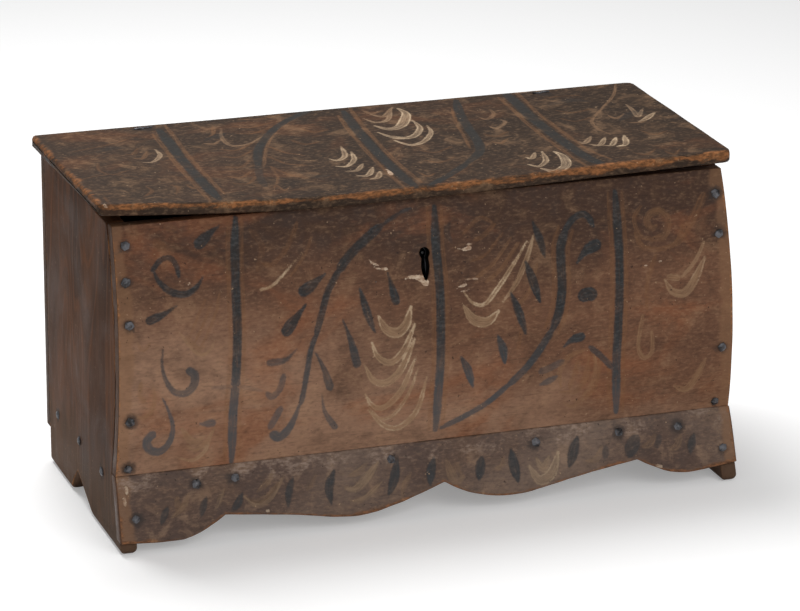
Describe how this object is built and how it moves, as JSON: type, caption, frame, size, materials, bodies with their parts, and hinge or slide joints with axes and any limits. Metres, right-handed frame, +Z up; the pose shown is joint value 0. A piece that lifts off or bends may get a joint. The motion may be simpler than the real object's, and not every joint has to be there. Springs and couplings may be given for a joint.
{
  "type": "keepsake box",
  "caption": "Nailed wooden keepsake box with a bowed painted front, a scalloped skirt, arched feet, a hinged warped lid and an iron lock.",
  "frame": {"origin": "on the floor, under the middle of the box's outline seen from above", "axes": "+X along the length to the viewer's right, +Y to the back, +Z up; the keyhole is on the -Y side"},
  "size_m": [0.617, 0.2863, 0.3278],
  "materials": {
    "end_wood": "dark brown stain over upright grain, greyed and worn at the feet",
    "painted_front": "red-brown paint with blue-grey stripes, strokes and tan fans, rubbed",
    "painted_skirt": "dark brown paint with blue-grey strokes, satin, worn lower edge",
    "painted_lid": "dark brown paint with strokes and fans, orange wear along the edges",
    "plain_wood": "old unpainted softwood, dry and dusty",
    "wrought_iron": "hand-forged iron, dark and slightly rusty"
  },
  "bodies": {
    "case": {"left_end_board": "end_wood", "right_end_board": "end_wood", "front_board": "painted_front", "back_board": "plain_wood", "bottom_board": "plain_wood", "skirt_board": "painted_skirt", "left_case_pin": "wrought_iron", "right_case_pin": "wrought_iron", "lock_plate": "wrought_iron", "lock_cover": "wrought_iron", "key_post": "wrought_iron", "lock_spring": "wrought_iron", "front_nails_left": "wrought_iron", "front_nails_right": "wrought_iron", "skirt_row_nails": "wrought_iron", "skirt_end_nails": "wrought_iron", "end_nails_left": "wrought_iron", "end_nails_right": "wrought_iron", "back_nails_left": "wrought_iron", "back_nails_right": "wrought_iron", "back_row_nails": "wrought_iron", "lock_nails": "wrought_iron"},
    "lid": {"lid_board": "painted_lid", "left_lid_pin": "wrought_iron", "right_lid_pin": "wrought_iron", "lid_staple": "wrought_iron"},
    "bolt": {"lock_bolt": "wrought_iron"}
  },
  "joints": [
    {"name": "lid_hinge", "type": "hinge", "parent": "case", "child": "lid", "pos_m": [0, 0.1315, 0.307], "axis": [-1, 0, 0], "range_deg": [0, 96]},
    {"name": "bolt_slide", "type": "slide", "parent": "case", "child": "bolt", "axis": [1, 0, 0], "range_m": [0, 0.01]}
  ]
}
